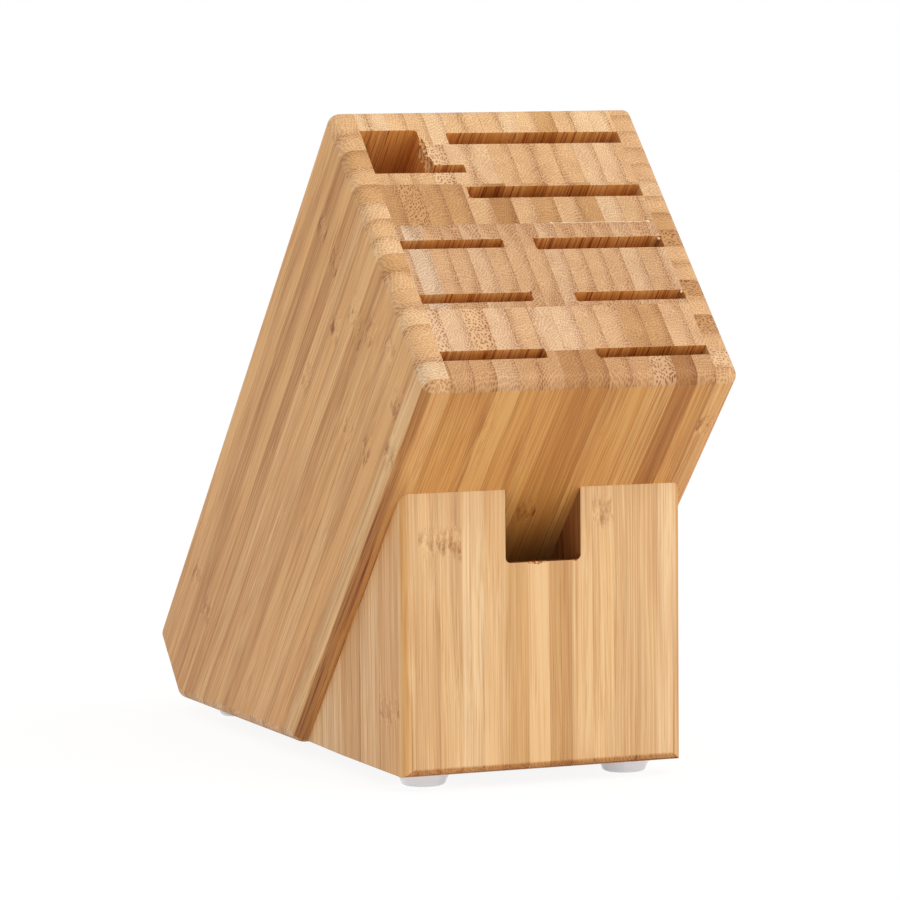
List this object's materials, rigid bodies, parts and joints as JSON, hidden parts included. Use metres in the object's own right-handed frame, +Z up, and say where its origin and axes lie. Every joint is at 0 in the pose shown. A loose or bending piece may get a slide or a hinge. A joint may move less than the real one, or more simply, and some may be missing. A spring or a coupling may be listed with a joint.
{
  "type": "knife block",
  "caption": "Slanted bamboo knife block with kerf slots open at the top, a square steel hole, a shears notch in its wedge support, and rubber bumpers.",
  "frame": {"origin": "on the standing surface, under the middle of the bounding box", "axes": "+Z up, the front panel and the lowered edge of the slotted face look along -Y, +X to the right of someone facing the front"},
  "size_m": [0.11, 0.2802, 0.2222],
  "materials": {
    "side_panel_bamboo": "sanded and oiled laminated bamboo, edge grain",
    "core_bamboo": "sanded and oiled laminated bamboo, end grain on top",
    "front_panel_bamboo": "sanded and oiled laminated bamboo, upright strips",
    "support_bamboo": "sanded and oiled laminated bamboo, upright strips",
    "dowel_beech": "plain turned beech",
    "bumper_rubber": "translucent white, satin"
  },
  "bodies": {
    "root": {"left_side_panel": "side_panel_bamboo", "right_side_panel": "side_panel_bamboo", "front_board": "core_bamboo", "second_board": "core_bamboo", "middle_board": "core_bamboo", "fourth_board": "core_bamboo", "fifth_board": "core_bamboo", "back_board": "core_bamboo", "support_front_panel": "front_panel_bamboo", "support_board_1": "support_bamboo", "support_board_2": "support_bamboo", "support_board_3": "support_bamboo", "support_board_4": "support_bamboo", "dowel_upper_left": "dowel_beech", "dowel_upper_right": "dowel_beech", "dowel_lower_left": "dowel_beech", "dowel_lower_right": "dowel_beech", "bumper_front_left": "bumper_rubber", "bumper_front_right": "bumper_rubber", "bumper_rear_left": "bumper_rubber", "bumper_rear_right": "bumper_rubber"}
  },
  "joints": []
}
